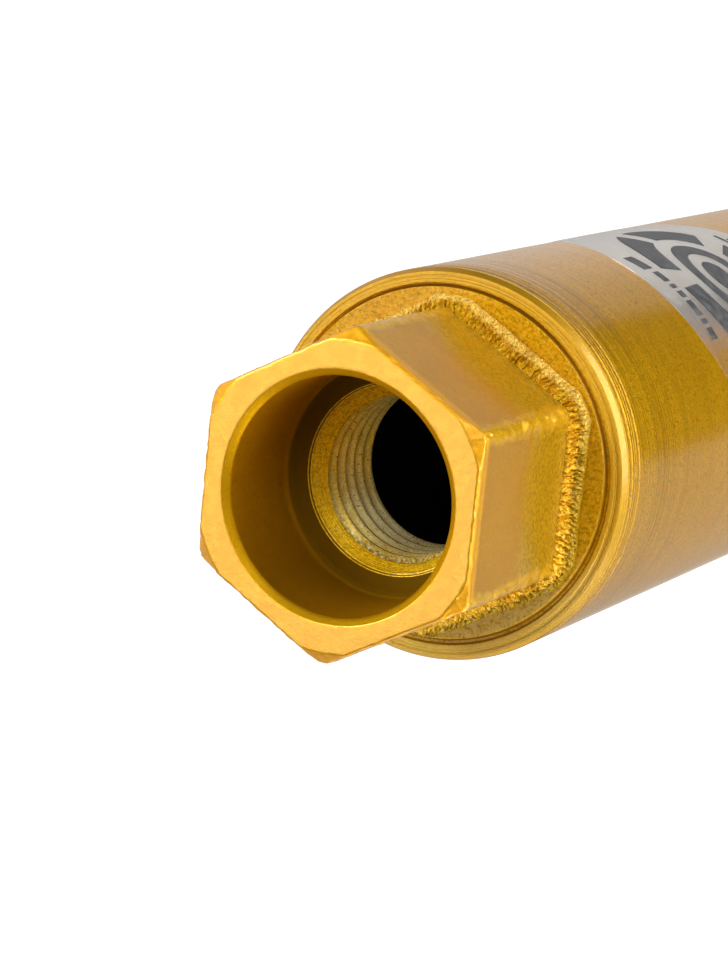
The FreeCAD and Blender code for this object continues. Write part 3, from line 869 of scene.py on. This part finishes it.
def hub_marks_and_painted_light(m):
    """A face painted a little paler and more even, a painted highlight; painted shade with a scaly skin next
    to the weld; and runs on the upright edges.
    """
    # Painted highlight: the face is painted a little paler and more even than the sides, with a mottled
    # skin.
    face = m.span(m.level, 0.3966, 0.3971, 0.0, 0.85)
    mottle = m.noise(620.0, 4.0, 0.65)
    m.tint(face, m.mix(m.span(mottle, 0.40, 0.62), (0.87, 0.42, 0.006), (0.97, 0.49, 0.018)))
    m.emboss(m.times(mottle, face), 2.5)
    border = m.times(m.span(m.level, 0.3956, 0.3963), m.span(m.level, 0.39779, 0.39772))
    m.rough = m.plus(m.rough, m.times(border, 0.18))
    # The mustard patch is scaly. Near the weld it is a painted shade, stronger toward +x, and it also covers
    # the edges up to the face.
    fibre = m.noise(1900.0, 4.0, 0.7)
    reach = m.plus(m.level, m.times(m.noise(260.0, 3.0, 0.6), 0.006))
    patch = m.times(m.span(reach, 0.3895, 0.3825), m.span(m.x, 0.007, 0.014, 0.7, 0.85))
    edge = m.times(m.span(m.corner_distance(), 0.0022, 0.0010), m.span(m.level, 0.3972, 0.3960))
    mustard = m.math("MAXIMUM", patch, edge)
    m.tint(mustard, m.mix(m.span(fibre, 0.42, 0.60), (0.56, 0.335, 0.006), (0.30, 0.175, 0.003)))
    m.tint(m.times(edge, 0.6), (0.95, 0.50, 0.012))
    # Spatter along the weld.
    toe = m.times(m.span(m.level, 0.3745, 0.3715), m.span(fibre, 0.46, 0.60))
    m.tint(m.times(toe, 0.8), (0.34, 0.22, 0.02))
    m.emboss(toe, 2.0)
    m.emboss(m.times(fibre, mustard), 4.0)
    m.metal = m.span(mustard, 0.0, 1.0, m.metal, 0.55)


def cavity_painted_shade(m):
    """Painted shade: the counterbore is painted darker with depth, darkest at the shoulder, and darker
    toward -y.
    """
    m.tint(m.span(m.level, 0.3950, 0.3830, 0.10, 0.45), (0.30, 0.19, 0.004))
    m.tint(m.span(m.level, 0.3821, 0.3812, 0.0, 0.75), (0.12, 0.08, 0.008))
    m.tint(m.span(m.y, -0.004, -0.014, 0.0, 0.5), (0.26, 0.15, 0.004))
    m.rough = m.span(m.level, 0.3835, 0.3818, m.roughness, 0.9)


def entry_marks_and_painted_shade(m):
    """Turned lines and grit in the thread's entry, with the groove at its edge painted dark, a painted
    shade.
    """
    m.tone = m.mix(m.span(m.specks, 0.42, 0.62), (1.0, 0.66, 0.02), (0.80, 0.50, 0.01))
    turned = m.noise(6500.0, 2.0, 0.6, m.turned_position())
    m.tint(m.span(turned, 0.50, 0.62, 0.0, 0.40), (0.46, 0.25, 0.004))
    m.emboss(turned, 1.5)
    # Painted shade in the fine groove under the entry's edge.
    groove = m.times(m.span(m.radius, 0.01186, 0.01190), m.span(m.radius, 0.01202, 0.01196))
    m.tint(m.times(groove, m.span(m.level, 0.38070, 0.38078)), (0.12, 0.06, 0.002))
    m.tint(m.span(m.noise(3400.0, 3.0, 0.65), 0.50, 0.62, 0.0, 0.60), (0.34, 0.19, 0.003))
    m.emboss(m.specks, 2.0)


def weld_pores_and_painted_light(m):
    """The bead's foot and its comb differ in tone, and both are painted lighter on one side and darker on
    the other, painted highlight and painted shade: the foot is dark where the comb is bright, and the other
    way round. Its pores are darker.
    """
    pores = m.noise(3000.0, 4.0, 0.7)
    m.emboss(pores, 3.0)
    # Painted light and shade: side runs across the bead, from where the foot is painted dark and the comb
    # bright to where the foot is painted pale and the comb darker.
    side = m.span(m.minus(m.y, m.times(m.x, 0.3)), -0.003, 0.010)
    pale = m.mix(m.span(m.flakes, 0.35, 0.65), (0.95, 0.60, 0.06), (1.0, 0.75, 0.20))
    foot = m.mix(side, (0.50, 0.30, 0.010), pale)
    comb = m.mix(side, (1.0, 0.59, 0.03), (0.80, 0.47, 0.012))
    m.tone = m.mix(m.span(m.level, 0.3701, 0.3705), foot, comb)
    m.tint(m.span(pores, 0.50, 0.64, 0.0, 0.75), (0.26, 0.15, 0.008))


def lacquer(name, marks, roughness, grain=1.0, coat=1.0, gloss=0.10, metal=0.9):
    """One of the lacquered surfaces: marks is the function that adds what is special to it."""
    m = Lacquer(name, grain, roughness, metal)
    if marks is not tube_marks:
        m.emboss(m.noise(1500.0, 3.0, 0.6), 0.8 * grain)
    marks(m)
    m.set("Base Color", m.tone)
    m.set("Metallic", m.metal)
    m.set("Roughness", m.rough)
    m.set("IOR", 1.2)
    m.set("Specular Tint", EDGE_GOLD + (1.0,))
    m.set("Coat Weight", coat)
    m.set("Coat Roughness", gloss)
    m.set("Coat IOR", 1.45)
    m.set("Normal", m.bump(m.height, 0.000035))
    return m


def mill_scale(name):
    """The dark oxide skin inside the drawn tube."""
    m = Nodes(name)
    patch = m.noise(160.0, 4.0, 0.65)
    drawn = m.noise(1.0, 3.0, 0.6, m.stretch((1500.0, 1500.0, 12.0)))
    m.set("Base Color", m.mix(m.span(patch, 0.4, 0.75), (0.022, 0.020, 0.019), (0.075, 0.052, 0.036)))
    m.set("Metallic", 0.6)
    m.set("Roughness", m.span(patch, 0.3, 0.7, 0.50, 0.70))
    m.set("Normal", m.bump(m.plus(drawn, patch), 0.00006))
    return m


def thread_steel(name):
    """Bare cut steel of the thread, with gold overspray that fades down the bore."""
    m = Nodes(name)
    x, y, level = m.axes()
    patch = m.noise(420.0, 4.0, 0.65)
    fleck = m.noise(1900.0, 3.0, 0.6)
    steel = m.mix(m.span(fleck, 0.30, 0.72), (0.86, 0.88, 0.40), (1.0, 1.0, 0.72))
    gold = m.mix(m.span(fleck, 0.3, 0.7), (0.72, 0.50, 0.02), (0.98, 0.74, 0.06))
    cover = m.span(m.plus(level, m.times(patch, 0.006)), 0.372, 0.3835, 0.05, 1.0)
    tone = m.mix(cover, steel, gold)
    # The roots are painted dark, a painted shade that deepens from the crest toward the root, and the flanks
    # have fine grain and a few pits.
    tone = m.mix(m.span(m.distance(x, y), 0.01040, 0.01115, 0.0, 0.80), tone, (0.24, 0.18, 0.07))
    tone = m.mix(m.span(m.noise(5000.0, 2.0, 0.6), 0.50, 0.62, 0.0, 0.40), tone, (0.38, 0.30, 0.07))
    tone = m.mix(m.span(m.noise(3000.0, 1.0, 0.5), 0.69, 0.73, 0.0, 0.9), tone, (0.05, 0.04, 0.02))
    # The torn first turns show bright metal and dark gaps.
    torn = m.times(m.span(level, 0.3773, 0.3780), m.span(level, 0.3795, 0.3788))
    torn = m.times(torn, m.span(y, -0.002, -0.007))
    shreds = m.noise(2600.0, 4.0, 0.75)
    tone = m.mix(m.times(torn, m.span(shreds, 0.56, 0.60)), tone, (1.0, 0.95, 0.80))
    tone = m.mix(m.times(torn, m.span(shreds, 0.44, 0.40)), tone, (0.20, 0.11, 0.02))
    m.set("Base Color", tone)
    m.set("Metallic", 0.40)
    m.set("Roughness", m.span(patch, 0.3, 0.7, 0.30, 0.44))
    m.set("Specular Tint", (1.0, 0.85, 0.4, 1.0))
    m.set("Normal", m.bump(m.plus(m.noise(3600.0, 2.0, 0.6), m.times(patch, 0.5)), 0.00003))
    return m


def sintered(name):
    """Grey sintered metal with fine pores."""
    m = Nodes(name)
    grain = m.noise(1500.0, 4.0, 0.65)
    patch = m.noise(230.0, 3.0, 0.6)
    tone = m.mix(m.span(grain, 0.36, 0.66), (0.10, 0.095, 0.09), (0.36, 0.34, 0.31))
    m.set("Base Color", m.mix(m.span(patch, 0.45, 0.75, 0.0, 0.5), tone, (0.30, 0.22, 0.14)))
    m.set("Metallic", 0.85)
    m.set("Roughness", m.span(grain, 0.3, 0.7, 0.42, 0.7))
    m.set("Normal", m.bump(m.plus(grain, patch), 0.00008))
    return m


def grit(name):
    """Yellow-green synthetic diamond."""
    m = Nodes(name)
    m.set("Base Color", m.mix(m.span(m.noise(700.0, 1.0), 0.4, 0.6), (0.52, 0.50, 0.16), (0.80, 0.78, 0.42)))
    m.set("Roughness", m.span(m.noise(3000.0, 2.0), 0.3, 0.7, 0.08, 0.25))
    m.set("IOR", 2.4)
    return m


def solder_metal(name):
    """Pale silver solder that has flowed."""
    m = Nodes(name)
    flow = m.noise(500.0, 3.0, 0.6)
    m.set("Base Color", m.mix(m.span(flow, 0.35, 0.7), (0.42, 0.38, 0.28), (0.78, 0.74, 0.62)))
    m.set("Metallic", 1.0)
    m.set("Roughness", m.span(flow, 0.3, 0.7, 0.22, 0.4))
    m.set("Normal", m.bump(flow, 0.00008))
    return m


def film(name):
    """Clear film with a silvery gloss. How much of the gloss shows is painted by side, a painted reflection:
    most where y is large, least on its lower side, where y is small.
    """
    m = Nodes(name)
    y = m.axes()[1]
    cloud = m.noise(260.0, 3.0, 0.6)
    m.set("Base Color", m.mix(m.span(cloud, 0.35, 0.7), (0.92, 0.88, 0.82), (0.98, 0.94, 0.88)))
    m.set("Metallic", 0.7)
    m.set("Roughness", m.span(m.noise(900.0, 2.0), 0.3, 0.7, 0.16, 0.24))
    # Painted reflection: the film's silvery gloss is painted stronger toward +y.
    painted_sheen = m.span(y, 0.0125, 0.0195, 0.08, 0.68)
    m.set("Alpha", m.plus(painted_sheen, m.span(cloud, 0.3, 0.7, -0.03, 0.03)))
    m.set("Normal", m.bump(m.noise(150.0, 3.0, 0.6), 0.00015))
    return m


def ink_black(name):
    """Worn black print."""
    m = Nodes(name)
    worn = m.noise(800.0, 3.0, 0.6)
    m.set("Base Color", m.mix(m.span(worn, 0.35, 0.75), (0.055, 0.056, 0.060), (0.13, 0.13, 0.13)))
    m.set("Roughness", m.span(worn, 0.3, 0.7, 0.42, 0.6))
    m.set("IOR", 1.3)
    return m


def dress(piece, *materials):
    piece.data.materials.clear()
    for m in materials:
        piece.data.materials.append(m.material)


def assign(piece, zones):
    """Each face takes the slot of the first zone it lies in: slot, outer radius and the two levels."""
    for face in piece.data.polygons:
        spot = face.center
        radius = math.hypot(spot.x, spot.y)
        for slot, outer, low, high in zones:
            if radius < outer and low < spot.z < high:
                face.material_index = slot
                break


# The hub's slots: 0 is the outside, 1 the thread, 2 the counterbore and mouth, 3 the entry.
HUB_ZONES = (
    (1, 0.01165, 0.3663, 0.3789),
    (3, 0.01215, 0.3788, 0.3812),
    (2, 0.01536, 0.3808, 0.39777),
)
# The barrel's slot 1 is its inside, and the plate's is the steep faces of its rim.
TUBE_ZONES = ((1, 0.0229, 0.0, 0.4),)
RIM_INNER_R = 0.0219
RIM_LOWEST = 0.3671
RIM_STEEPNESS = 0.8

hub_paint = lacquer("hub_lacquer_paint", hub_marks_and_painted_light, 0.40, gloss=0.2)
thread_finish = thread_steel("thread_cut_steel")
cavity_paint = lacquer("hub_counterbore_paint", cavity_painted_shade, 0.52, coat=0.0, metal=0.8)
entry_paint = lacquer("hub_entry_paint", entry_marks_and_painted_shade, 0.42, grain=1.6, coat=0.3, metal=0.45)
dress(hub, hub_paint, thread_finish, cavity_paint, entry_paint)
assign(hub, HUB_ZONES)
dress(weld, lacquer("weld_lacquer_paint", weld_pores_and_painted_light, 0.50, grain=1.6, coat=0.4, metal=0.5))
plate_paint = lacquer("plate_lacquer_paint", plate_marks_and_painted_light, 0.50, grain=1.2, coat=0.3, metal=0.5)
rim_paint = lacquer("plate_rim_paint", rim_painted_shade, 0.50, grain=2.2, coat=0.65, gloss=0.24, metal=0.88)
dress(plate, plate_paint, rim_paint)
for face in plate.data.polygons:
    spot = face.center
    on_rim = spot.z > RIM_LOWEST and math.hypot(spot.x, spot.y) > RIM_INNER_R
    if on_rim and face.normal.z < RIM_STEEPNESS:
        face.material_index = 1
tube_paint = lacquer("barrel_lacquer_paint", tube_marks, 0.38, grain=0.7, gloss=0.18, metal=0.78)
dress(seam, tube_paint)
dress(barrel, tube_paint, mill_scale("inner_mill_scale"))
assign(barrel, TUBE_ZONES)
matrix_metal = sintered("sintered_matrix")
diamond = grit("diamond_grit")
for segment in segments:
    dress(segment, matrix_metal, diamond)
    # The grit's facets are the only triangles.
    for face in segment.data.polygons:
        if len(face.vertices) == 3:
            face.material_index = 1
silver = solder_metal("silver_solder_metal")
for solder in solders:
    dress(solder, silver)
dress(label, film("clear_film"))
dress(ink, ink_black("print_ink"))


# Floor, light and camera. Lengths are in metres from here on.

FLOOR_SIZE = 6.0
FLOOR_GLOW = 1.25
FLOOR_GLOW_SHARE = 0.70


def make_floor():
    """A wide pale floor that metal doesn't reflect."""
    mesh = bpy.data.meshes.new("studio_floor")
    far = FLOOR_SIZE
    corners = [(-far, -far, 0), (far, -far, 0), (far, far, 0), (-far, far, 0)]
    mesh.from_pydata(corners, [], [(0, 1, 2, 3)])
    floor = bpy.data.objects.new("studio_floor", mesh)
    bpy.context.scene.collection.objects.link(floor)
    material = bpy.data.materials.new("pale_floor")
    material.use_nodes = True
    m = Tree(material.node_tree)
    shader = m.tree.nodes["Principled BSDF"]
    shader.inputs["Base Color"].default_value = (0.88, 0.88, 0.88, 1)
    shader.inputs["Roughness"].default_value = 0.7
    # To the camera most of the floor's white is its own, and the rest keeps the shadow.
    glow = m.add("ShaderNodeEmission")
    glow.inputs["Strength"].default_value = FLOOR_GLOW
    seen = m.add("ShaderNodeLightPath").outputs["Is Camera Ray"]
    blend = m.add("ShaderNodeMixShader")
    m.link(m.times(seen, FLOOR_GLOW_SHARE), blend.inputs[0])
    m.link(shader.outputs[0], blend.inputs[1])
    m.link(glow.outputs[0], blend.inputs[2])
    m.link(blend.outputs[0], m.tree.nodes["Material Output"].inputs["Surface"])
    floor.data.materials.append(material)
    floor.visible_glossy = False


make_floor()


def build_world():
    """White to the camera. The object sees a pale studio with a few darker places."""
    world = bpy.data.worlds.new("studio")
    bpy.context.scene.world = world
    world.use_nodes = True
    w = Tree(world.node_tree)
    direction = w.add("ShaderNodeTexCoord").outputs["Generated"]

    def toward(azimuth, elevation):
        """How far a direction points toward an azimuth and an elevation: 1 is straight at it."""
        a, e = math.radians(azimuth), math.radians(elevation)
        dot = w.add("ShaderNodeVectorMath", operation="DOT_PRODUCT")
        w.link(direction, dot.inputs[0])
        dot.inputs[1].default_value = (math.cos(a) * math.cos(e), math.sin(a) * math.cos(e), math.sin(e))
        return dot.outputs["Value"]

    # The studio's ceiling is dim, apart from its lamp.
    ceiling = w.span(toward(0, 90), -0.15, 0.50, 0.82, 0.22)
    # The backdrop low down is dimmer on two sides.
    nadir = w.span(toward(0, -90), 0.55, 0.75)
    far_side = w.times(w.span(toward(120, 0), 0.05, 0.20), nadir)
    far_side = w.times(far_side, w.span(toward(150, 0), 0.15, 0.45, 0.46, 0.18))
    near_side = w.times(w.span(toward(-55, 0), 0.02, 0.16), nadir)
    # A dark wedge low down behind the bit, between two upright planes.
    wedge = w.times(w.span(toward(-12, 0), -0.06, 0.06), w.span(toward(82, 0), -0.05, 0.05))
    wedge = w.times(wedge, w.span(toward(0, -90), 0.70, 0.80))
    # A dark place beyond the top of the picture.
    top = w.span(toward(92, -8), 0.78, 0.92)
    light = w.minus(ceiling, far_side)
    light = w.minus(light, w.times(near_side, 0.42))
    light = w.minus(light, w.times(wedge, 0.90), clamp=True)
    light = w.minus(light, w.times(top, 0.72), clamp=True)
    seen = w.add("ShaderNodeLightPath").outputs["Is Camera Ray"]
    background = w.tree.nodes["Background"]
    background.inputs["Color"].default_value = (1, 1, 1, 1)
    w.link(w.plus(w.times(light, w.minus(1.0, seen)), seen), background.inputs["Strength"])


build_world()


def area_lamp(name, place, aim, size, power):
    """A rectangular lamp that points at a spot and isn't seen by the camera."""
    lamp = bpy.data.lights.new(name, "AREA")
    lamp.shape = "RECTANGLE"
    lamp.size, lamp.size_y = size
    lamp.energy = power
    holder = bpy.data.objects.new(name, lamp)
    bpy.context.scene.collection.objects.link(holder)
    holder.location = place
    holder.rotation_euler = (Vector(aim) - Vector(place)).to_track_quat("-Z", "Y").to_euler()
    holder.visible_camera = False


HUB_MIDDLE = (0, 0, 0.36)
area_lamp("side_softbox", (0.85, 0.38, 0.22), HUB_MIDDLE, (1.05, 0.30), 7.6)
area_lamp("key_softbox", (-0.78, 0.49, 1.28), HUB_MIDDLE, (0.6, 0.6), 9.6)
area_lamp("front_softbox", (-0.52, -0.24, 1.55), HUB_MIDDLE, (0.5, 0.5), 1.9)
area_lamp("lower_softbox", (0.55, -0.65, 0.40), HUB_MIDDLE, (0.5, 0.5), 3.8)
area_lamp("top_softbox", (0.24, 0.60, 1.04), (0, 0, 0.37), (0.45, 0.45), 2.9)

# The camera was fitted to the photograph: its axes, its place, its focal length and the
# point of the picture that it faces, the last two in the photograph's pixels.
FRAME_WIDTH, FRAME_HEIGHT = 728, 970
FOCAL_PIXELS = 3485.67
CENTRE_X, CENTRE_Y = 368.26, 467.68
SENSOR = 36.0

right = Vector((0.8973, 0.0989, -0.4302))
back = right.cross(Vector((-0.1701, 0.9768, -0.1301))).normalized()
up = back.cross(right).normalized()
place = Vector((0.17061, 0.08215, 0.7638))

camera_data = bpy.data.cameras.new("camera")
camera = bpy.data.objects.new("camera", camera_data)
bpy.context.scene.collection.objects.link(camera)
bpy.context.scene.camera = camera
camera.matrix_world = Matrix((
    (right.x, up.x, back.x, place.x),
    (right.y, up.y, back.y, place.y),
    (right.z, up.z, back.z, place.z),
    (0, 0, 0, 1),
))
camera_data.sensor_fit = "VERTICAL"
camera_data.sensor_width = SENSOR
camera_data.sensor_height = SENSOR
camera_data.lens = FOCAL_PIXELS / FRAME_HEIGHT * SENSOR
camera_data.shift_x = (FRAME_WIDTH / 2 - CENTRE_X) / FRAME_HEIGHT
camera_data.shift_y = (CENTRE_Y - FRAME_HEIGHT / 2) / FRAME_HEIGHT
camera_data.clip_start = 0.01
camera_data.clip_end = 50.0

bpy.context.scene.view_settings.view_transform = "Standard"
